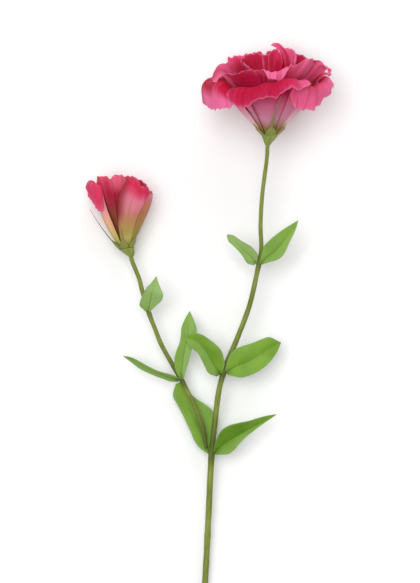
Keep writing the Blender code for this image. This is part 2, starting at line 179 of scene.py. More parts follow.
class ShaderValue:
    # a socket in a material, so that sums on it can be written as they are read
    def __init__(self, paint, socket):
        self.paint, self.socket = paint, socket

    def __add__(self, other):
        return self.paint.calculate("ADD", self, other)

    __radd__ = __add__

    def __sub__(self, other):
        return self.paint.calculate("SUBTRACT", self, other)

    def __rsub__(self, other):
        return self.paint.calculate("SUBTRACT", other, self)

    def __mul__(self, other):
        return self.paint.calculate("MULTIPLY", self, other)

    __rmul__ = __mul__


class Paint:
    # one material; node() adds any node, with its settings first and then its sockets' values or links
    def __init__(self, name):
        self.material = bpy.data.materials.new(name)
        self.material.use_nodes = True
        self.tree = self.material.node_tree
        self.tree.nodes.clear()

    def node(self, kind, settings=None, sockets=None, out=0):
        made = self.tree.nodes.new(kind)
        for key, setting in (settings or {}).items():
            if key == "stops":
                self.setStops(made.color_ramp, setting)
            else:
                setattr(made, key, setting)
        for key, content in (sockets or {}).items():
            if isinstance(content, ShaderValue):
                self.tree.links.new(content.socket, made.inputs[key])
            else:
                made.inputs[key].default_value = content
        return ShaderValue(self, made.outputs[out]) if made.outputs else None

    def setStops(self, ramp, stops):
        while len(ramp.elements) < len(stops):
            ramp.elements.new(0.5)
        for element, (place, colour) in zip(ramp.elements, stops):
            element.position = place
            element.color = (*colour, 1)

    def smooth(self, value, low, high):
        return self.node("ShaderNodeMapRange", {"interpolation_type": "SMOOTHSTEP"},
                         {"Value": value, "From Min": low, "From Max": high})

    def mix(self, share, first, second):
        colours = [c if isinstance(c, ShaderValue) else (*c, 1) for c in (first, second)]
        sockets = {0: share, 6: colours[0], 7: colours[1]}
        return self.node("ShaderNodeMix", {"data_type": "RGBA"}, sockets, out=2)

    def tint(self, share, colour, screenColour):
        return self.mix(share, colour, linear(*screenColour))

    def axes(self, vector):
        split = self.node("ShaderNodeSeparateXYZ", None, {0: vector})
        return [ShaderValue(self, output) for output in split.socket.node.outputs]

    def surface(self):
        # the piece's own pattern: across, along, and its three marks
        uv = self.node("ShaderNodeUVMap", {"uv_map": "UVMap"})
        mark = self.node("ShaderNodeAttribute", {"attribute_name": "mark"}, out=1)
        return [*self.axes(uv)[:2], *self.axes(mark)]

    def calculate(self, operation, *values):
        return self.node("ShaderNodeMath", {"operation": operation}, dict(enumerate(values)))

    def joined(self, x, y, z):
        return self.node("ShaderNodeCombineXYZ", None, {0: x, 1: y, 2: z})

    def noise(self, vector, scale, detail, roughness=0.5, distortion=0):
        sockets = {"Vector": vector, "Scale": scale, "Detail": detail, "Roughness": roughness,
                   "Distortion": distortion}
        return self.node("ShaderNodeTexNoise", None, sockets)

    def grain(self, scale, detail, roughness=0.5):
        # noise of one size on every piece
        return self.noise(self.node("ShaderNodeTexCoord", out=3), scale, detail, roughness)

    def bump(self, strength, distance, height):
        sockets = {"Strength": strength, "Distance": distance, "Height": height}
        return self.node("ShaderNodeBump", None, sockets)

    def thinSheet(self, look, colour, roughness, bump):
        # a petal or leaf lets a share of the light through it
        body = self.node("ShaderNodeBsdfPrincipled", None, {
            "Base Color": colour, "Roughness": roughness, "Normal": bump, **look["gloss"]})
        through = self.node("ShaderNodeBsdfTranslucent", None, {
            "Color": (*look["through"], 1), "Normal": bump})
        shares = {0: look["translucency"], 1: body, 2: through}
        return self.finish(self.node("ShaderNodeMixShader", None, shares))

    def finish(self, shader):
        self.node("ShaderNodeOutputMaterial", None, {"Surface": shader})
        return self.material


def linear(red, green, blue):
    # a screen colour of 0 to 255 as Blender's linear values
    parts = [c / 255 for c in (red, green, blue)]
    return tuple(c / 12.92 if c <= 0.04045 else ((c + 0.055) / 1.055) ** 2.4 for c in parts)


greenGloss = {"Specular IOR Level": 0.25}
allPetals = {
    "gloss": {"Sheen Weight": 0.06, "Sheen Roughness": 0.4, "Specular IOR Level": 0.16},
    # how fine each noise is across the petal, along it and from petal to petal, then its detail, roughness
    # and distortion
    "noises": (((34, 1.3, 7), (3, 0.6, 0.3)), ((15, 0.9, 3), (2, 0.5, 0.4)), ((5, 2.4, 5), (2, 0.5, 0))),
    # how strongly streaks, bands and the painted highlight along the rim show, and the size of the grain
    "streaks": 0.18, "bands": 0.36, "rimHighlightShare": 0.4, "grain": 1400,
}
# colours from a petal's foot to its rim, on its two faces; light and deep are where its tone is raised or
# lowered, which comes in between the two shares of its length in toneFrom; they are partly the petal's own
# colour and partly painted light where a petal is lit and painted shade where it lies in shade. rim is the
# colour of the painted highlight along the rim, also used for the light bands
petalLook = {
    **allPetals,
    "inner": ((0, (140, 140, 70)), (0.1, (176, 56, 60)), (0.28, (174, 6, 50)), (0.68, (184, 6, 56)),
              (0.86, (196, 16, 70)), (0.96, (218, 48, 106)), (1, (236, 90, 144))),
    "outer": ((0, (128, 140, 66)), (0.08, (160, 130, 84)), (0.2, (222, 156, 180)), (0.42, (226, 112, 154)),
              (0.58, (198, 24, 80)), (0.85, (206, 34, 90)), (1, (238, 106, 156))),
    "light": (248, 126, 180), "deep": (172, 6, 54), "toneFrom": (0.6, 0.9), "vein": (162, 6, 50),
    "rim": (246, 150, 192), "through": (0.92, 0.07, 0.19), "translucency": 0.34, "roughness": 0.6,
}
# the outside of the petals at the back of the open flower is paler from its foot up
paleOutside = ((0, (176, 180, 110)), (0.1, (240, 226, 180)), (0.24, (254, 206, 220)),
               (0.44, (248, 172, 200)), (0.62, (234, 120, 164)), (0.85, (220, 76, 130)),
               (1, (242, 130, 174)))
budLook = {
    **allPetals,
    "inner": ((0, (140, 150, 70)), (0.25, (150, 96, 52)), (0.5, (140, 24, 44)), (0.72, (176, 18, 58)),
              (0.92, (206, 44, 88)), (1, (226, 84, 122))),
    "outer": ((0, (140, 152, 60)), (0.13, (186, 180, 94)), (0.24, (180, 158, 88)), (0.38, (188, 142, 96)),
              (0.48, (204, 132, 116)), (0.6, (226, 134, 148)), (0.72, (232, 128, 152)),
              (0.82, (222, 72, 112)), (0.9, (216, 36, 82)), (1, (224, 62, 102))),
    "light": (236, 120, 150), "deep": (148, 44, 52), "toneFrom": (0.25, 0.55), "vein": (150, 84, 50),
    "rim": (232, 110, 144), "through": (0.8, 0.16, 0.16), "translucency": 0.22, "roughness": 0.62,
}
# the bud's inner petals are seen in the fold between the outer ones: brown below and deep red, painted shade
# in the fold, then rose
budFold = ((0, (110, 100, 40)), (0.18, (120, 72, 34)), (0.48, (142, 68, 50)), (0.62, (160, 40, 60)),
           (0.76, (172, 22, 60)), (0.9, (204, 48, 88)), (1, (226, 90, 124)))
budSide = ((0, (140, 152, 60)), (0.15, (180, 174, 86)), (0.35, (192, 154, 84)), (0.6, (204, 134, 88)),
           (0.78, (214, 132, 106)), (0.88, (232, 128, 146)), (1, (238, 154, 170)))
budLobe = ((0, (150, 160, 74)), (0.12, (206, 190, 104)), (0.28, (240, 186, 144)), (0.46, (246, 156, 168)),
           (0.62, (232, 80, 124)), (0.8, (216, 48, 96)), (1, (226, 80, 120)))
budLobeInner = ((0, (140, 150, 70)), (0.3, (190, 90, 90)), (0.55, (214, 52, 98)), (0.72, (232, 62, 110)),
                (0.9, (220, 44, 94)), (1, (232, 90, 128)))
leafLook = {
    "upper": (124, 165, 46), "upperDark": (108, 151, 32), "deep": (86, 130, 4), "pale": (164, 194, 124),
    "under": (146, 178, 112), "vein": (84, 124, 44), "veinPale": (150, 184, 104), "foot": (70, 104, 18),
    "edge": (134, 172, 94), "through": (0.3, 0.5, 0.08), "translucency": 0.2, "roughness": 0.55,
    "gloss": greenGloss,
    # sizes of its two noises, and how strongly its veins, margin and the painted shade at its foot show
    "mottle": 90, "grain": 900, "sideVeins": 0.3, "midrib": 0.75, "edgeShare": 0.5, "footShadeShare": 0.8,
}


def petalPaint(name, look):
    p = Paint(name)
    across, along, side, tone, seed = p.surface()
    # fine across the petal and long along it, so the streaks and bands fan out from the foot
    streaks, bands, clouds = (p.noise(p.joined(across * x, along * y, seed * z), 1, *settings)
                              for (x, y, z), settings in look["noises"])
    waver = along + (clouds - 0.5) * 0.1
    faces = []
    for key in ("inner", "outer"):
        stops = [(place, linear(*colour)) for place, colour in look[key]]
        faces.append(p.node("ShaderNodeValToRGB", {"stops": stops}, {0: waver}))
    colour = p.mix(side, *faces)
    # the tone towards the rim: partly the petal's own colour, partly painted light where it is lit and
    # painted shade where it lies in shade
    ends = p.smooth(along + (clouds - 0.5) * 0.12, *look["toneFrom"])
    lighter, deeper = (p.calculate("MAXIMUM", t, 0) for t in (tone, 0 - tone))
    colour = p.tint(ends * lighter, colour, look["light"])
    colour = p.tint(ends * deeper, colour, look["deep"])
    # fine streaks, and wide bands with a dark side and a light one that both show most towards the rim
    veins = p.smooth(streaks, 0.5, 0.72) * p.smooth(along, 0.06, 0.35) * (1 - 0.6 * lighter)
    darkBands = p.smooth(bands, 0.5, 0.68) * p.smooth(along, 0.35, 0.8)
    lightBands = p.smooth(bands, 0.48, 0.32) * p.smooth(clouds, 0.4, 0.6) * p.smooth(along, 0.4, 0.95)
    # a painted highlight along the rim
    rim = p.smooth(along, 0.97, 1)
    colour = p.tint(veins * look["streaks"], colour, look["vein"])
    colour = p.tint(darkBands * look["bands"], colour, look["vein"])
    colour = p.tint(lightBands * look["bands"], colour, look["rim"])
    colour = p.tint(rim * look["rimHighlightShare"], colour, look["rim"])
    grain = p.grain(look["grain"], 3, 0.6)
    bump = p.bump(0.35, 0.6 * mm, streaks * 0.6 + bands * 1.2 + clouds * 0.3 + grain * 0.12)
    return p.thinSheet(look, colour, look["roughness"] + (grain - 0.5) * 0.2, bump)


def leafPaint(name, look):
    p = Paint(name)
    across, along, side, tone, _ = p.surface()
    offMiddle = p.calculate("ABSOLUTE", across * 2 - 1)
    mottle = p.grain(look["mottle"], 3)
    fine = p.grain(look["grain"], 3, 0.6)
    colour = p.mix(p.smooth(mottle, 0.35, 0.65), linear(*look["upper"]), linear(*look["upperDark"]))
    # the halves differ: toned down where one is folded into shade, paler where its bloom catches the light
    paler, deeper = (p.calculate("MAXIMUM", t, 0) for t in (tone, 0 - tone))
    colour = p.tint(paler * (0.75 + (mottle - 0.5) * 1.2), colour, look["pale"])
    colour = p.tint(deeper * p.smooth(along, 0.95, 0.45), colour, look["deep"])
    # midrib, one long vein each side of it, and faint side veins that leave it at a slant
    midrib = p.smooth(offMiddle, 0.08, 0) * p.smooth(along, 0.95, 0.3)
    offVein = offMiddle - 0.46 + along * 0.1
    longVein = p.smooth(offVein, 0.07, 0) * p.smooth(offVein, -0.07, 0)
    slant = p.calculate("SINE", (along * 3 - offMiddle * 0.9) * 24 + mottle * 3)
    ribs = p.smooth(slant, 0.8, 1) * look["sideVeins"] + longVein * look["sideVeins"]
    colour = p.tint(midrib * look["midrib"], colour, look["vein"])
    colour = p.tint(ribs * 0.35, colour, look["veinPale"])
    colour = p.tint(p.smooth(offMiddle, 0.8, 1) * look["edgeShare"], colour, look["edge"])
    under = p.mix(midrib * 0.4 + ribs * 0.4, linear(*look["under"]), linear(*look["veinPale"]))
    colour = p.mix(side, colour, under)
    # painted shade in the crease where the leaf's foot meets the stem
    footShade = p.smooth(along + offMiddle * 0.1, 0.16, 0)
    colour = p.tint(footShade * look["footShadeShare"], colour, look["foot"])
    bump = p.bump(0.3, 0.5 * mm, fine * 0.25 + mottle * 0.5 - midrib * 0.5 - ribs * 0.5)
    return p.thinSheet(look, colour, look["roughness"] + (fine - 0.5) * 0.2 + side * 0.1, bump)


def greenPaint(name, dark, light, lineScale, roughness=0.5, shaded=(62, 76, 16)):
    # stems and calyces: two greens in lines that run lengthways, with a fine grain, tinted where marked so:
    # painted shade beside a stem's leaves, a brown-rose tip on a sepal
    p = Paint(name)
    around, along, _, shade, _ = p.surface()
    turn = around * (2 * math.pi)
    ring = (p.calculate(operation, turn) * lineScale for operation in ("COSINE", "SINE"))
    lines = p.noise(p.joined(*ring, along * 14), 1, 4, 0.6)
    mottle = p.grain(60, 3)
    colour = p.mix(p.smooth(lines * 0.6 + mottle * 0.4, 0.38, 0.62), linear(*dark), linear(*light))
    colour = p.tint(shade * (0.85 + (mottle - 0.5) * 0.6), colour, shaded)
    return p.finish(p.node("ShaderNodeBsdfPrincipled", None, {
        "Base Color": colour, "Roughness": roughness + (lines - 0.5) * 0.2,
        "Normal": p.bump(0.3, 0.4 * mm, lines), **greenGloss}))


petalSkin = petalPaint("petalSkin", petalLook)
paleSkin = petalPaint("paleSkin", {**petalLook, "outer": paleOutside})
lobeSkin = petalPaint("lobeSkin", {**petalLook, "toneFrom": (0.76, 0.92)})
budSkin = petalPaint("budSkin", budLook)
# the bud's inner petals, with painted shade in the fold
budFoldShadeSkin = petalPaint("budFoldShadeSkin", {**budLook, "outer": budFold, "toneFrom": (0.7, 0.92)})
budSideSkin = petalPaint("budSideSkin", {**budLook, "outer": budSide})
budLobeSkin = petalPaint("budLobeSkin", {**budLook, "outer": budLobe, "inner": budLobeInner})
leafSkin = leafPaint("leafSkin", leafLook)
stemSkin = greenPaint("stemSkin", (98, 110, 34), (132, 142, 64), 3)
calyxSkin = greenPaint("calyxSkin", (100, 116, 44), (142, 154, 74), 4)
sepalSkin = greenPaint("sepalSkin", (104, 112, 42), (140, 142, 72), 4, 0.5, (156, 112, 84))
stigmaSkin = greenPaint("stigmaSkin", (150, 164, 74), (190, 200, 110), 3)
antherSkin = greenPaint("antherSkin", (196, 150, 60), (224, 186, 96), 3, 0.8)
print("materials made")


# a whorl is one sheet around the flower's axis, from the radius and height in its base, and a petal is a part
# of it. its shape has a row for each azimuth (0 is the front, 90 the right): the sheet's angle from the axis
# at its foot, the angle where it starts to roll, how far up that is, the roll's length and how much it turns.
# a petal has the azimuths of its two edges at the foot and above, the lengths over which it opens from one to
# the other, the side of its neighbour that each edge lies on (-1 inside), and its rim: its length at places
# from one edge, -1, to the other, 1. its tone, paler above nought, is given at such places too; it is partly
# the petal's own colour and partly painted light and painted shade
bloomOuterPetals = {
    "base": (5.2, 9.15), "stagger": (0.3, 2), "ripple": 1.7, "frill": 0.9,
    "shape": (
        (-115, 50, 32.9, 37.9, 18.2, 137.1), (-90, 48, 31.6, 37.5, 24.8, 163.4),
        (-68, 34, 34.5, 37.2, 26, 165.5), (-47, 29, 46, 36.6, 16.5, 143), (-27, 28, 44.4, 37.4, 13, 135.6),
        (-2, 28, 38.2, 39.8, 12.4, 141.8), (20, 28, 35, 41.5, 12.7, 145), (40, 29, 39.5, 41.9, 13.2, 145.5),
        (54, 31, 42.4, 38.7, 18, 147.6), (66, 34, 39.4, 39.4, 20, 152), (82, 50, 27.8, 39.2, 22.8, 163.2),
        (98, 52, 27.4, 39.2, 21.6, 157), (111, 52, 26.8, 38.9, 20.6, 149.2), (132, 44, 42, 46, 18, 40),
        (180, 43, 52.2, 42, 20, 33), (206, 44, 53, 42, 20, 38), (230, 42, 44, 43, 20, 30),
    ),
    "petals": (
        {"foot": (-35, 31), "edges": (-47, 44), "sides": (-1, -1),
         "tone": ((-1, 0.3), (-0.8, -0.4), (-0.3, -0.6), (0.4, -0.4), (0.7, 0.4), (1, 0.7)),
         "rim": ((-1, 48), (-0.89, 51.5), (-0.56, 55.8), (-0.3, 53.5), (0, 53.8), (0.21, 56), (0.47, 52.5),
                 (0.74, 53.5), (1, 51))},
        {"foot": (32, 60), "edges": (28, 112), "twist": -6, "opens": (24, 42), "sides": (1, 1),
         "tone": ((-1, 0.5), (-0.5, 0.7), (0.3, 0.8), (0.5, 1), (1, 1)),
         "rim": ((-1, 57), (-0.88, 65), (-0.6, 68), (-0.4, 65.5), (-0.15, 63), (0.1, 61.5), (0.27, 58.5),
                 (0.42, 55), (0.58, 57.5), (0.8, 58.5), (1, 46))},
        {"foot": (52, 171), "edges": (84, 188), "tone": 0.8, "skin": paleSkin, "opens": (14, 44),
         "rim": ((-1, 38), (-0.8, 46.5), (-0.6, 51), (-0.3, 52.5), (0.2, 51), (0.85, 45), (1, 38))},
        {"foot": (176, 300), "edges": (166, 266), "tone": 0.8, "skin": paleSkin, "opens": (14, 42),
         "rim": ((-1, 38), (-0.85, 45), (-0.3, 50), (0.1, 50), (0.4, 48), (0.8, 42), (1, 36))},
        {"foot": (290, 322), "edges": (244, 326), "tone": 1, "opens": (22, 40), "skin": lobeSkin,
         "rim": ((-1, 48), (-0.8, 57), (-0.55, 63), (-0.3, 68), (0, 71.5), (0.25, 68), (0.5, 61.5),
                 (0.8, 54.5), (1, 48))},
    ),
}
bloomMiddlePetals = {
    "base": (4.2, 9.6), "stagger": (0.3, 1.8), "ripple": 1.2, "frill": 0.9,
    "shape": (
        (-130, 20, 37, 44, 14, 30), (-112, 20, 32.5, 46.2, 7.4, 117.5), (-97, 20, 36.8, 46.2, 8.6, 123.2),
        (-80, 22, 44.3, 47.2, 8.8, 120.7), (-66, 20, 47.9, 45.7, 7.2, 92.1), (-52, 19, 40, 43, 10, 50),
        (-40, 18, 37.5, 44, 10, 20), (-25, 17, 36, 46, 10, 14), (-16, 17, 35.5, 46, 8, 20),
        (-1, 17, 35.5, 46, 6, 130), (11, 17, 36, 47, 6, 150), (25, 18, 35, 50, 7, 110),
        (42, 18, 33, 54, 12, 20), (64, 19, 34, 52.7, 10, 40), (80, 22, 44.5, 49.6, 8.2, 117.7),
        (96, 24, 53.5, 51, 7.7, 128), (112, 24, 50, 50, 8.4, 122), (126, 20, 48.5, 48, 12, 45),
        (145, 18, 36, 48, 12, 20), (180, 18, 34, 50, 12, 20), (210, 18, 36, 48, 12, 30),
    ),
    "petals": (
        {"foot": (-7, 59), "edges": (-16, 68),
         "tone": ((-1, 0.5), (-0.7, 0.9), (-0.2, 0.8), (0.2, 0.2), (0.45, 0.7), (0.6, 1), (1, 1)),
         "rim": ((-1, 47), (-0.9, 50), (-0.57, 53.5), (-0.4, 56), (-0.25, 56), (-0.05, 53.5), (0.1, 53),
                 (0.3, 53.5), (0.43, 54.5), (0.6, 56), (0.75, 57.2), (0.9, 57), (1, 53))},
        {"foot": (65, 131), "edges": (60, 138), "skin": paleSkin,
         "tone": ((-1, -1), (-0.74, -1), (-0.62, 0.2), (-0.5, 1), (1, 0.9)),
         "rim": ((-1, 52), (-0.8, 55), (-0.4, 57), (-0.2, 56.5), (-0.05, 53), (0.2, 51.5), (0.6, 51.5),
                 (0.85, 51), (1, 47))},
        {"foot": (131, 197), "edges": (118, 208), "tone": ((-1, -0.9), (-0.2, -0.6), (1, 0.1)),
         "rim": ((-1, 49), (-0.8, 53), (-0.5, 53), (-0.2, 54), (0.1, 53), (0.4, 54.5), (0.49, 52.5),
                 (0.58, 51), (0.8, 51.5), (1, 47))},
        {"foot": (203, 269), "edges": (190, 272), "tone": ((-1, -0.2), (0, 0.1), (0.4, 0.3), (1, 0.4)),
         "rim": ((-1, 50), (-0.93, 53), (-0.7, 52.3), (-0.3, 52.8), (0, 54), (0.2, 54), (0.41, 54.5),
                 (0.6, 56), (0.8, 55), (1, 50))},
        {"foot": (275, 341), "edges": (262, 353),
         "tone": ((-1, 0.6), (-0.6, 0.4), (-0.35, 0.5), (-0.05, 0), (0.1, -0.8), (1, -0.5)),
         "rim": ((-1, 50), (-0.85, 56.5), (-0.68, 59), (-0.45, 58), (-0.17, 52.5), (0.1, 49.5), (0.24, 49),
                 (0.6, 51.5), (0.85, 51), (1, 46))},
    ),
}
bloomInnerPetals = {
    "base": (3.2, 9.85), "stagger": (0.3, 1.8), "ripple": 0.8, "frill": 0.35,
    "shape": (
        (-14, 7, 20, 40, 10, 10), (58, 7, 22, 40, 10, 10), (110, 9, 28, 46, 10, 20), (150, 9, 27, 50, 10, 14),
        (185, 9, 29, 48, 10, 20), (222, 9, 32, 44, 12, 30), (274, 8, 24, 42, 10, 14),
    ),
    "petals": (
        {"foot": (-47, 19), "edges": (-72, 44), "rim": ((-1, 32), (-0.7, 38), (0, 40), (0.7, 38), (1, 32))},
        {"foot": (25, 91), "edges": (0, 116), "rim": ((-1, 35), (-0.7, 41), (0, 44), (0.7, 42), (1, 36))},
        {"foot": (97, 163), "edges": (64, 132), "tone": ((-1, 0.8), (0.2, 0.5), (0.7, 0), (1, 0.5)),
         "twist": 46,
         "rim": ((-1, 46), (-0.7, 49.5), (-0.41, 53), (-0.12, 55), (0.25, 54), (0.54, 57), (0.76, 59.5),
                 (1, 58.5))},
        {"foot": (169, 235), "edges": (146, 276),
         "tone": ((-1, -0.4), (-0.7, -0.2), (-0.35, -0.8), (1, -0.8)),
         "rim": ((-1, 44), (-0.85, 50), (-0.7, 52.5), (-0.55, 53), (-0.42, 50), (-0.1, 51), (0.15, 52),
                 (0.5, 49), (0.8, 45), (1, 40))},
        {"foot": (241, 307), "edges": (216, 332), "rim": ((-1, 36), (-0.6, 44), (0, 46), (0.6, 44), (1, 36))},
    ),
}
# a flower's foot, how many degrees it is raised and leaned, how far it bows, and the straight stem below it;
# a sepal's azimuth, length, half width, how far its tip stands off and leans; the cup's heights and radii
bloom = {
    "foot": (34.3, 131.2, 32.24), "raise": 12, "lean": 0, "bow": 1.4, "neck": 9, "grid": (72, 80),
    "ragged": 1,
    "sepals": ((4, 33, 3.3, 0, 13), (76, 9, 3.2, 0, -8), (148, 24, 3.7, 0, 0), (220, 24, 3.7, 0, 0),
               (292, 8.5, 3.4, 0, -6)),
    "calyx": ((0, 1.2), (1.5, 1.9), (4, 3.4), (6.5, 4.9), (7.7, 5.6), (8.3, 5.6), (8.85, 4.9), (9.2, 3.8),
              (9.4, 2.4), (9.5, 0.6)),
    "whorls": {
        "bloom_outer_petal": bloomOuterPetals, "bloom_middle_petal": bloomMiddlePetals,
        "bloom_inner_petal": bloomInnerPetals,
    },
}
budOuterPetals = {
    "base": (4, 7), "stagger": (0.3, 1.6), "ripple": 1.2, "frill": 0.5,
    "shape": (
        (0, 22, 18, 30, 20, -22), (20, 22, 20, 30, 20, -22), (55, 28, 27, 26, 18, -34),
        (90, 33, 30.5, 24, 14, -22), (130, 20, 22, 26, 20, -26), (176, 20, 23.8, 28, 20, -24),
        (214, 20, 23, 28, 20, -20), (240, 20, 14, 38, 12, 40), (256, 27, 4, 43, 9, 157),
        (270, 31, 0.5, 43.2, 7.6, 183), (290, 29, 0.5, 43.2, 7.2, 184), (312, 21, 4, 42.3, 6.8, 176),
    ),
    "petals": (
        {"foot": (-31, 35), "edges": (-10, 46), "twist": 26,
         "tone": ((-1, -1), (-0.8, -0.9), (-0.5, -0.55), (-0.15, 0), (1, 0)),
         "rim": ((-1, 43), (-0.8, 46.5), (-0.43, 49), (-0.15, 47.5), (0.14, 44.2), (0.4, 41.5), (0.57, 40.8),
                 (0.8, 41), (1, 37.5))},
        {"foot": (41, 107), "edges": (36, 124), "skin": budSideSkin,
         "rim": ((-1, 34), (-0.6, 38), (-0.2, 38), (0.1, 36.8), (0.25, 36.4), (0.7, 37.5), (1, 32))},
        {"foot": (113, 179), "edges": (96, 196),
         "rim": ((-1, 36.7), (-0.7, 42), (0, 45), (0.7, 41.8), (1, 36.7))},
        {"foot": (185, 251), "edges": (168, 246),
         "rim": ((-1, 37.4), (-0.7, 44), (0, 46), (0.5, 42), (0.8, 36), (1, 30))},
        {"foot": (257, 332), "edges": (236, 312), "skin": budLobeSkin,
         "rim": ((-1, 40), (-0.7, 46), (-0.45, 52.5), (-0.1, 58.5), (0.2, 61.5), (0.45, 64.5), (0.7, 65.5),
                 (0.88, 64), (1, 59))},
    ),
}
budInnerPetals = {
    "base": (3, 7.45), "stagger": (0.3, 1.3), "ripple": 1.2, "frill": 0.6,
    "shape": (
        (20, 16, 14, 28, 20, -12), (40, 16, 14, 24, 20, -18), (160, 16, 14, 24, 20, -18),
        (285, 16, 15, 30, 20, -6),
    ),
    "petals": (
        {"foot": (-6, 86), "edges": (-26, 106), "tone": 0.5, "skin": budFoldShadeSkin,
         "rim": ((-1, 42), (-0.8, 47.8), (-0.45, 48.5), (-0.3, 47.5), (-0.15, 44), (0.2, 43), (0.7, 42),
                 (1, 35))},
        {"foot": (114, 206), "edges": (94, 226), "skin": budFoldShadeSkin,
         "rim": ((-1, 35.9), (-0.7, 43.7), (0, 45), (0.7, 43.7), (1, 35.9))},
        {"foot": (234, 326), "edges": (214, 346), "skin": budFoldShadeSkin,
         "rim": ((-1, 36), (-0.6, 42), (-0.1, 40), (0.12, 42), (0.25, 46.5), (0.4, 49.6), (0.6, 49),
                 (0.85, 48.2), (1, 43))},
    ),
}
bud = {
    "foot": (-53.73, 60.4, 14.89), "raise": 6, "lean": 7, "bow": -2.6, "neck": 3, "grid": (60, 72),
    "ragged": 0.5,
    "sepals": ((-14, 15, 3, 0, 6), (58, 27, 3, 0, 0), (130, 26, 3, 0, 0), (202, 26, 3, 0.6, 0),
               (274, 30, 3.5, 4.2, 0)),
    "calyx": ((0, 1.5), (1.4, 2.6), (3.2, 3.7), (4.8, 4.6), (5.7, 5.1), (6.1, 5.1), (6.25, 4.8), (6.3, 3.5),
              (6.35, 2.6), (6.9, 2.4), (7, 0.6)),
    "whorls": {
        "bud_outer_petal": budOuterPetals, "bud_inner_petal": budInnerPetals,
    },
}


def rowAt(shape, azimuth):
    # the shape's five numbers at an azimuth: a smoothstep between the rows on either side of it
    rows = np.array(shape, float)
    rows[:, 0] %= 360
    rows = rows[np.argsort(rows[:, 0])]
    first, last = rows[:1].copy(), rows[-1:].copy()
    first[0, 0] += 360
    last[0, 0] -= 360
    rows = np.concatenate([last, rows, first])
    turn = np.asarray(azimuth) % 360
    after = np.clip(np.searchsorted(rows[:, 0], turn, side="right"), 1, len(rows) - 1)
    share = smoothStep((turn - rows[after - 1, 0]) / (rows[after, 0] - rows[after - 1, 0]))[..., None]
    return rows[after - 1, 1:] * (1 - share) + rows[after, 1:] * share


def sheetAngle(row, along):
    # angle from the axis: a straight change from the foot to the start of the roll, then the roll as a
    # smoothstep
    foot, flare, rollAt, rollOver, curl = (row[..., k] for k in range(5))
    opened = (flare - foot) * np.clip(along / rollAt, 0, 1)
    return np.radians(foot + opened + curl * smoothStep((along - rollAt) / rollOver))


def placeOnFlower(whorl, azimuth, along, offset):
    # radius = base + integral of sin(angle), height = base + integral of cos(angle), each by midpoints, and
    # then the offset square to the sheet
    steps = 40
    samples = (np.arange(steps) + 0.5) / steps
    row = rowAt(whorl["shape"], azimuth)
    slopes = sheetAngle(row[..., None, :], along[..., None] * samples)
    ending = sheetAngle(row, along)
    radius = whorl["base"][0] + along * np.sin(slopes).mean(axis=-1) + offset * np.cos(ending)
    height = whorl["base"][1] + along * np.cos(slopes).mean(axis=-1) - offset * np.sin(ending)
    turn = np.radians(azimuth)
    return np.stack([radius * np.sin(turn), -radius * np.cos(turn), height], axis=-1)


petalEdge = {
    "longest": 75,  # the length at which the stagger and the ripple are full
    "thickness": 0.32, "thinning": 0.45,  # and the share of it that a petal loses towards its rim
    "opens": (-16, 34), "frillFrom": 0.75, "phaseStep": 2.4,
    # waves, each an amount, a number of waves, where it starts, and how far the petal's phase shifts it
    "ripple": ((0.65, 13, 0, 0), (0.35, 8, 1.9, 0), (0.25, 21, 0.7, 0)),
    "frill": ((0.6, 33, 1.3, 0), (0.45, 47, 0.4, 0), (0.25, 74, 0, 1)),
    "ragged": ((0.55, 9, 0, 1), (0.35, 23, 0, 2), (0.25, 43, 0, 3)),
}


def waves(kind, angle, phase=0):
    # the sum of amount * sin(number * angle + start + shift * phase)
    return sum(amount * np.sin(number * angle + start + shift * phase)
               for amount, number, start, shift in petalEdge[kind])


def edgeOffset(whorl, azimuth, along, across):
    # stagger (one edge inside, one outside) plus ripples around the flower that deepen towards the rim
    reach = along / petalEdge["longest"]
    close, far = whorl["stagger"]
    ripple = whorl["ripple"] * reach**2.5 * waves("ripple", np.radians(azimuth))
    return across * (close + (far - close) * reach) + ripple


def petalPoints(flower, whorl, petal, seed):
    # across -1..1 is the azimuth between the petal's edges, and along is a share of the rim's length there,
    # which shows only in the upper half; the rim gets a frill of finer waves and runs a little in and out
    across, share = acrossAndAlong(*flower["grid"])
    phase = petalEdge["phaseStep"] * seed
    rim = curveThrough(petal["rim"], 12)
    length = np.interp(across, rim[:, 0], rim[:, 1]) + flower["ragged"] * waves("ragged", across, phase)
    longest = rim[:, 1].max()
    along = share * (longest + (length - longest) * share**1.5)
    start, end = petal.get("opens", petalEdge["opens"])
    widening = smoothStep((along - start) / (end - start))
    widening = (widening - widening[:, :1]) / (1 - widening[:, :1])
    first, last = (foot + (edge - foot) * widening for foot, edge in zip(petal["foot"], petal["edges"]))
    azimuth = first + (last - first) * (across + 1) / 2 + petal.get("twist", 0) * share**4
    left, right = petal.get("sides", (-1, 1))
    offset = edgeOffset(whorl, azimuth, along, left + (right - left) * (across + 1) / 2)
    nearRim = np.clip((share - petalEdge["frillFrom"]) / (1 - petalEdge["frillFrom"]), 0, 1) ** 2
    offset = offset + whorl["frill"] * waves("frill", np.radians(azimuth), phase) * nearRim
    uv = np.stack([across * 0.5 + 0.5 + 0 * share, share], axis=-1)
    return placeOnFlower(whorl, azimuth, along, offset), uv, share


def makePetals(flower, material):
    seed = 0
    for whorlName, whorl in flower["whorls"].items():
        for number, petal in enumerate(whorl["petals"], start=1):
            seed += 1
            points, uv, share = petalPoints(flower, whorl, petal, seed)
            thickness = petalEdge["thickness"] * (1 - petalEdge["thinning"] * share**3)
            tone = petal.get("tone", 0)
            if isinstance(tone, tuple):
                tone = fromTable(uv[..., 0] * 2 - 1, tone)
            piece = shell(camelName(whorlName) + str(number), layDown(points, flower), thickness, uv, tone,
                          seed, petal.get("skin", material))
            finishPiece(piece, f"{whorlName}_{number}")
    print("petals made:", seed)


makePetals(bloom, petalSkin)
makePetals(bud, budSkin)


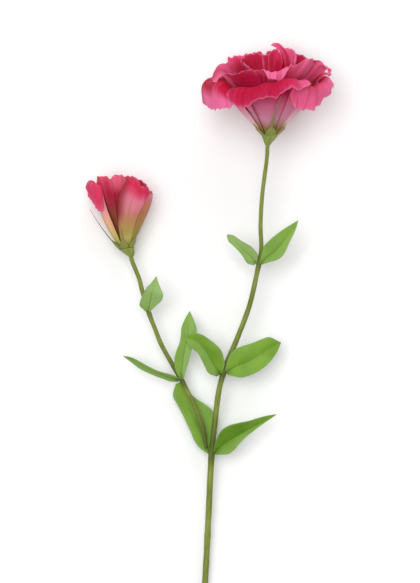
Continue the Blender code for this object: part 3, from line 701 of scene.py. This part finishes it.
calyxForm = {
    "sepalThickness": 0.45, "sepalGap": 0.7, "keel": 0.35,
    "strip": 0.25,  # a sepal's upper width as a share of its width at the foot
    "wideTo": 1.5, "narrowsOver": 7.5,
    "ribDepth": 0.05, "ribLength": 8,
}


def sepalPoints(whorl, sepal):
    # a strip that tapers to a point just outside the outer petals, keeled along its middle; its foot is as
    # wide as the cup allows
    middle, length, halfWidth, standOff, lean = sepal
    across, share = acrossAndAlong(16, 56)
    along = length * share
    radius = whorl["base"][0] + 1 + along * np.sin(np.radians(rowAt(whorl["shape"], middle)[0]))
    strip = calyxForm["strip"] * halfWidth * (1 - 0.8 * share) / radius
    narrowing = smoothStep((along - calyxForm["wideTo"]) / calyxForm["narrowsOver"])
    foot = halfWidth / radius[:, :1] * (1 - narrowing) * (1 - share)
    azimuth = middle + lean * share + np.degrees(across * np.maximum(strip, foot))
    keel = calyxForm["keel"] * (1 - np.abs(across)) * (1 - share)
    offset = calyxForm["sepalGap"] + keel + edgeOffset(whorl, azimuth, along, 1) + standOff * share**1.5
    uv = np.stack([across * 0.5 + 0.5 + 0 * share, along / patternLength], axis=-1)
    return placeOnFlower(whorl, azimuth, along, offset), uv, share


def makeCalyx(flower, name):
    outer = next(iter(flower["whorls"].values()))
    for number, sepal in enumerate(flower["sepals"], start=1):
        points, uv, share = sepalPoints(outer, sepal)
        shade = 0.9 * smoothStep(share * 1.6 - 0.2)
        thickness = calyxForm["sepalThickness"] * (1 - 0.5 * share)
        points = layDown(points, flower)
        piece = shell(f"{name}Sepal{number}", points, thickness, uv, shade, number, sepalSkin)
        finishPiece(piece, f"{name}_sepal_{number}")
    # the cup under the petals: the profile turned about the axis, with a soft rib below each sepal
    profile = curveThrough(flower["calyx"], 5)
    height = profile[:, :1]
    turn = aroundTurn(60)
    fromSepal = math.pi / 2 - turn - math.radians(flower["sepals"][0][0])
    swell = np.sin(np.clip(height / calyxForm["ribLength"], 0, 1) * math.pi)
    radius = profile[:, 1:] * (1 + calyxForm["ribDepth"] * np.cos(5 * fromSepal) * swell)
    rings = np.stack([radius * np.cos(turn), -radius * np.sin(turn), height + 0 * turn], axis=-1)
    cup = closedTube(f"{name}Calyx", layDown(rings, flower), calyxSkin)
    finishPiece(cup, f"{name}_receptacle")


makeCalyx(bloom, "bloom")
makeCalyx(bud, "bud")
print("calyces made")


heart = {
    "foot": 9.8,
    "pistil": ((0, 1), (2, 1.3), (6, 1.3), (9.5, 1), (12, 0.6), (15, 0.55), (17, 1.2), (18.2, 1.6), (19, 1)),
    "stamen": ((0, 0.28), (6, 0.28), (11, 0.3), (12, 0.7), (14, 0.85), (16, 0.6), (16.6, 0.3)), "lobes": 0.25,
    "lobesFrom": 15.5, "stamens": 5, "stamenFoot": 2, "stamenTip": 4.2,
}


def makeHeart():
    profile = curveThrough(heart["pistil"], 4)
    height, radius = profile[:, :1], profile[:, 1:]
    centre = np.concatenate([0 * height, 0 * height, heart["foot"] + height], axis=1)
    twoLobed = np.cos(2 * aroundTurn(32)) * np.clip((height - heart["lobesFrom"]) / 2, 0, 1)
    radius = radius * (1 + heart["lobes"] * twoLobed)
    pistil = tube("pistil", layDown(centre, bloom), radius, stigmaSkin)
    finishPiece(pistil, "bloom_pistil")
    profile = curveThrough(heart["stamen"], 4)
    height, radius = profile[:, 0], profile[:, 1:] + 0 * aroundTurn(12)
    lean = (height / height[-1]) ** 2
    reach = heart["stamenFoot"] + (heart["stamenTip"] - heart["stamenFoot"]) * lean
    for number in range(heart["stamens"]):
        turn = 2 * math.pi * (number + 0.5) / heart["stamens"]
        centre = np.stack([reach * math.sin(turn), -reach * math.cos(turn), heart["foot"] + height], axis=-1)
        piece = tube(f"stamen{number + 1}", layDown(centre, bloom), radius, antherSkin)
        finishPiece(piece, f"bloom_stamen_{number + 1}")


makeHeart()
print("heart made")


# a stem's route is seen from above; its radii and its shade, the painted shade that darkens it beside its
# leaves, are given at places along Y
mainStem = {
    "route": ((-9, -200.6), (-5.6, -145.1), (-3.7, -108), (-1.9, -71.4), (0.5, -47.3), (3.3, -25.1),
              (8.3, -8.2), (14.2, 5.9), (22.6, 28.3), (27.5, 49.3), (30.3, 64.7), (29.9, 80.4), (30.9, 99.4)),
    "radii": ((-200.6, 2.05), (-80.6, 2), (-68.6, 2.15), (-58.6, 1.8), (-20.6, 1.75), (-14.6, 1.95),
              (-6.6, 1.7), (49.4, 1.55), (56.4, 1.75), (63.4, 1.4), (134.4, 1.3)),
    "shade": ((-76, 0), (-70, 0.8), (-60, 0.9), (-48, 0.45), (-34, 0), (-24, 0), (-16, 1), (-8, 0.7), (8, 0),
              (48, 0), (56, 0.8), (64, 0.2), (76, 0)),
    "startHeight": 2.05, "scars": (-138, -120.5),
}
sideBranch = {
    "route": ((-5.1, -63.6), (-7.3, -51), (-10.6, -41.7), (-15, -31.6), (-20.5, -20.5), (-27.7, -8.2),
              (-34.2, 3.6), (-38.6, 14.6), (-41.8, 22.8), (-46.2, 37), (-48.2, 45.2), (-50.8, 51.9)),
    "radii": ((-63.6, 1.1), (-54.6, 1.6), (-24.6, 1.5), (-20.6, 1.75), (-15.6, 1.5), (18.4, 1.4), (23.4, 1.6),
              (28.4, 1.4), (61.4, 1.4)),
    "shade": ((-64, 1), (-52, 0.8), (-38, 0.25), (-28, 0.1), (-20, 1), (-10, 0.6), (4, 0.1), (18, 0),
              (24, 0.5), (32, 0)),
    "scars": (),
}
stemForm = {"bow": 1.15, "intoCup": 0.3, "scarHeight": 0.16, "scarLength": 0.7, "corners": 0.03,
            "unevenness": 0.02, "coarse": 3, "fine": 14}


def stemLine(stem, flower):
    # the route seen from above, its height a power curve from the start up to the flower's neck, then
    # straight along the flower's axis to its foot
    foot = np.array(flower["foot"])
    axis = layDown(np.array([[0, 0, 1]]), flower)[0] - foot
    neckPoint = foot - flower["neck"] * axis
    route = np.array(stem["route"])
    share = (route[:, 1] - route[0, 1]) / (neckPoint[1] - route[0, 1])
    height = stem["startHeight"] + (neckPoint[2] - stem["startHeight"]) * share ** stemForm["bow"]
    end = foot + stemForm["intoCup"] * axis
    points = np.concatenate([np.column_stack([route, height]), [neckPoint], [end]])
    return curveThrough(points, stemForm["coarse"]), curveThrough(points, stemForm["fine"])


def atHeight(line, y):
    # the point of the line at a place along Y
    return np.array([np.interp(y, line[:, 1], line[:, axis]) for axis in range(3)])


def makeStem(stem, name, line):
    # radius along the way, swollen a little at each leaf scar, with four soft corners and never quite even
    place = line[:, 1:2]
    radius = fromTable(place, stem["radii"])
    for scar in stem["scars"]:
        radius = radius + stemForm["scarHeight"] * np.exp(-((place - scar) / stemForm["scarLength"]) ** 2)
    corners = stemForm["corners"] * np.cos(4 * aroundTurn(28) + 0.02 * place)
    uneven = stemForm["unevenness"] * np.sin(0.35 * place)
    return tube(name, line, radius * (1 + corners + uneven), stemSkin, fromTable(line[:, 1], stem["shade"]))


coarseMain, fineMain = stemLine(mainStem, bloom)
sideBranch["startHeight"] = float(atHeight(coarseMain, sideBranch["route"][0][1])[2])
coarseSide, fineSide = stemLine(sideBranch, bud)
finishPiece(makeStem(mainStem, "mainStem", fineMain), "main_stem")
finishPiece(makeStem(sideBranch, "sideBranch", fineSide), "side_branch")
print("stems made")


leaves = {
    "fork_leaf_right": {
        "stem": "main", "at": -66.6, "side": 40, "turn": (22, 30), "fold": 18,
        "left": (1, 4.7, 8.2, 8.5, 6.9, 4.9, 3.7, 2.2, 0.1),
        "right": (1.6, 6.6, 7, 5.1, 3.4, 2.4, 1.6, 0.9, 0.1),
        "tone": ((-0.9, -0.6), (-0.25, -0.7), (0.25, 0.1), (1, 0.4)),
        "midline": ((7.1, 6.5, 3), (16.2, 12, 5), (28, 18.5, 4), (40.3, 25, 1)),
    },
    "fork_leaf_left": {
        "stem": "main", "at": -67.6, "side": 200, "turn": (0, 0), "fold": 2,
        "left": (0.8, 4.9, 6.2, 5.9, 5.9, 6, 6.6, 7.2, 3),
        "right": (1, 4.7, 8.1, 11.8, 12.6, 9.6, 5.6, 2.9, 0.5),
        "tone": ((-1, 0.3), (-0.5, 0), (0, -0.3), (0.3, 0.15), (1, 0.15)),
        "midline": ((-3.2, 7.8, -1.4), (-6.8, 15.6, -2.2), (-11.1, 24.7, -3.4), (-15.3, 34.4, -4),
                    (-19.8, 46.5, -4)),
    },
    "middle_leaf_right": {
        "stem": "main", "at": -14.4, "side": 50, "turn": (4, 0), "fold": 8,
        "left": (1.4, 6.2, 10, 10.5, 9.8, 8.8, 7.7, 6.4, 0.2),
        "right": (2, 7.2, 8.6, 9, 8.8, 8, 6.8, 4.4, 0.1),
        "tone": ((-1, 0.25), (-0.2, 0), (0.2, 0.1), (1, 0.05)),
        "midline": ((5.9, 3.9, 1.4), (13.6, 7.2, 2.6), (20.2, 10.7, 2.4), (26.7, 14.9, 1), (35.4, 19.2, -4)),
    },
    "middle_leaf_left": {
        "stem": "main", "at": -15.7, "side": 285, "turn": (-16, -30), "fold": 12,
        "left": (2.6, 5.8, 5.9, 5.5, 5.2, 5.3, 5.4, 4.2, 0.1),
        "right": (1.6, 6.2, 7.7, 8.5, 7.8, 6.4, 5.4, 3.9, 0.2),
        "tone": ((-1, 0.35), (-0.2, 0.3), (0.2, -0.1), (0.7, 0.1), (1, 0.35)),
        "midline": ((-3.9, 6.5, 3), (-7.2, 12.3, 5.5), (-11.1, 17.9, 7), (-15.6, 21.8, 8), (-22.8, 24.4, 7)),
    },
    "upper_leaf_right": {
        "stem": "main", "at": 55.4, "side": 30, "turn": (10, 0), "fold": 10,
        "left": (0.6, 3.8, 7, 7.3, 7, 5.9, 4.3, 2.3, 0.1),
        "right": (0.6, 2.9, 5.1, 5.8, 4.6, 3.3, 2.7, 1.7, 0.1), "tone": ((-1, 0.3), (0, 0.2), (1, 0.4)),
        "midline": ((4.2, 4.2, 1.4), (10.1, 9.4, 2.4), (15.9, 16.2, 2.2), (24.4, 28.3, 0)),
    },
    "upper_leaf_left": {
        "stem": "main", "at": 56.1, "side": 290, "turn": (-34, -30), "fold": 12, "wave": 0.4,
        "left": (1.8, 4.2, 4.2, 3.3, 2.7, 2.5, 2.3, 2.1, 0.2),
        "right": (0.8, 4, 4.7, 4.9, 4.2, 3.6, 3.2, 2.8, 1.2),
        "tone": ((-1, 0.6), (-0.2, 0.8), (0.2, 1), (1, 1)),
        "midline": ((-4.6, 5.2, 2), (-11.1, 11.1, 3), (-18.9, 17.9, -2)),
    },
    "side_leaf_low": {
        "stem": "side", "at": -19.4, "side": 275, "turn": (-56, -60), "fold": 6, "wave": 0.3,
        "left": (1.2, 2.2, 2, 2.1, 2.2, 2.4, 2.2, 1.3, 0.1),
        "right": (1.2, 2.2, 2, 1.6, 1.6, 1.7, 1.5, 1.3, 0.1),
        "tone": ((-1, 0.5), (-0.1, 0.5), (0.15, -0.5), (0.5, 0.3), (1, 0.5)),
        "midline": ((-7.8, 2.2, 2), (-14.9, 4.9, 3), (-22.1, 8.4, 3), (-28.6, 12.3, 2.4), (-35.8, 15.6, 1)),
    },
    "side_leaf_tall": {
        "stem": "side", "at": -19, "side": 10, "turn": (14, -10), "fold": 12,
        "left": (1, 4, 5.5, 5.3, 4.5, 4.5, 4.7, 3, 0.1), "right": (1.4, 2.4, 3.5, 4.1, 4.4, 5, 5.2, 2.9, 0.1),
        "tone": ((-1, 0.25), (-0.2, 0.35), (0.2, 0.6), (1, 0.4)),
        "midline": ((0.3, 7.2, 1), (1.3, 15, 1), (3.2, 24.1, 0.6), (4.6, 33.2, -0.4), (5.2, 44.2, -2)),
    },
    "side_leaf_small": {
        "stem": "side", "at": 24.6, "side": 350, "turn": (0, 0), "fold": 8, "wave": 0.4,
        "left": (1.6, 6, 6.3, 5.9, 5.2, 4.2, 2.6, 1.3, 0.1),
        "right": (0.8, 2.8, 5, 6.9, 7.5, 6.4, 4.1, 1.9, 0.1), "tone": ((-1, 0.8), (0, 0.9), (1, 1)),
        "midline": ((1.3, 6.5, 5.5), (2.9, 13.7, 11), (5.5, 23.1, 14)),
    },
}


leafForm = {"thickness": 0.42, "thinning": 0.4, "gap": 0.2, "columns": 40, "rows": 72, "groove": 0.35,
            "grooveWidth": 0.7, "wave": 0.5}


def leafPoints(leaf, line, radii, seed):
    # seen from above the leaf reaches left and right of its midline as its tables say; each half rises with
    # the fold and the turn, the margins wave, and the midrib is a shallow groove
    side = math.radians(leaf["side"])
    clear = fromTable(leaf["at"], radii) + leafForm["gap"]
    base = atHeight(line, leaf["at"]) + clear * np.array((math.sin(side), 0, math.cos(side)))
    middle = base + curveThrough([(0, 0, 0), *leaf["midline"]], leafForm["rows"] // len(leaf["midline"]))
    ahead = np.gradient(middle, axis=0) * (1, 1, 0)
    sideways = unit(np.cross(ahead, (0, 0, 1)))
    travelled = np.cumsum(np.linalg.norm(ahead, axis=1))
    share = (travelled - travelled[0]) / (travelled[-1] - travelled[0])
    places = np.linspace(0, 1, len(leaf["left"]))
    widths = curveThrough(np.column_stack([places, leaf["left"], leaf["right"]]), 12)
    left, right = (np.interp(share, widths[:, 0], widths[:, k])[:, None] for k in (1, 2))
    across = np.linspace(-1, 1, leafForm["columns"] + 1)[None]
    reach = np.where(across < 0, across * left, across * right)
    first, last = leaf["turn"]
    turn = np.radians(first + (last - first) * share)[:, None]
    rise = np.abs(reach) * math.tan(math.radians(leaf["fold"])) - reach * np.tan(turn)
    along = share[:, None]
    ripple = np.sin(across * 0.8 + along * 17 + 2.1 * seed) * np.sin(math.pi * along)
    groove = -leafForm["groove"] * np.exp(-((reach / leafForm["grooveWidth"]) ** 2)) * (1 - along)
    points = middle[:, None] + sideways[:, None] * reach[..., None]
    points[..., 2] += rise + leaf.get("wave", leafForm["wave"]) * across**2 * ripple + groove
    uv = np.stack(np.broadcast_arrays(across * 0.5 + 0.5, along), axis=-1)
    return points, uv, along + 0 * across


def makeLeaves():
    lines = {"main": (coarseMain, mainStem["radii"]), "side": (coarseSide, sideBranch["radii"])}
    for seed, (node, leaf) in enumerate(leaves.items()):
        points, uv, share = leafPoints(leaf, *lines[leaf["stem"]], seed)
        thickness = leafForm["thickness"] * (1 - leafForm["thinning"] * share)
        tone = fromTable(uv[..., 0] * 2 - 1, leaf["tone"])
        piece = shell(camelName(node), points, thickness, uv, tone, seed, leafSkin)
        finishPiece(piece, node)


makeLeaves()
print("leaves made")


studio = {
    "floor": ((0.86, 0.86, 0.86), (0.89, 0.89, 0.89)), "floorHalf": 12, "world": 0.55,
    # watts, size and place of the two soft lights
    "key": (36, 1.6, (-0.35, 0.35, 2.15)), "fill": (8, 1.2, (0.5, 1.6, 0.9)),
    # the camera looks straight down; tall is the height of what it sees
    "lookAt": (-0.0027, 0.0379, 0), "distance": 3, "tall": 0.379,
}


def makeFloor():
    mesh = bpy.data.meshes.new("floor")
    half = studio["floorHalf"]
    corners = [(-half, -half, 0), (half, -half, 0), (half, half, 0), (-half, half, 0)]
    mesh.from_pydata(corners, [], [(0, 1, 2, 3)])
    p = Paint("paleFloor")
    colour = p.mix(p.grain(3, 2) * 0.1, *studio["floor"])
    mesh.materials.append(p.finish(p.node("ShaderNodeBsdfPrincipled", None, {
        "Base Color": colour, "Roughness": 0.9, "Specular IOR Level": 0.1})))
    floor = bpy.data.objects.new("floor", mesh)
    bpy.context.scene.collection.objects.link(floor)


def softLight(name, watts, size, place):
    light = bpy.data.lights.new(name, "AREA")
    light.energy = watts
    light.size = size
    lamp = bpy.data.objects.new(name, light)
    lamp.location = place
    lamp.rotation_euler = (-Vector(place)).to_track_quat("-Z", "Y").to_euler()
    bpy.context.scene.collection.objects.link(lamp)


def makeStudio():
    world = bpy.data.worlds.new("studio")
    bpy.context.scene.world = world
    world.use_nodes = True
    sky = world.node_tree.nodes["Background"].inputs
    sky["Color"].default_value = (1, 1, 1, 1)
    sky["Strength"].default_value = studio["world"]
    bpy.context.scene.view_settings.view_transform = "Standard"
    softLight("key", *studio["key"])
    softLight("fill", *studio["fill"])
    camera = bpy.data.cameras.new("camera")
    camera.sensor_width = 36
    camera.lens = camera.sensor_width * studio["distance"] / studio["tall"]
    camera.clip_end = 50
    eye = bpy.data.objects.new("camera", camera)
    eye.location = Vector(studio["lookAt"]) + Vector((0, 0, studio["distance"]))
    bpy.context.scene.collection.objects.link(eye)
    bpy.context.scene.camera = eye


makeFloor()
makeStudio()
print("studio made")
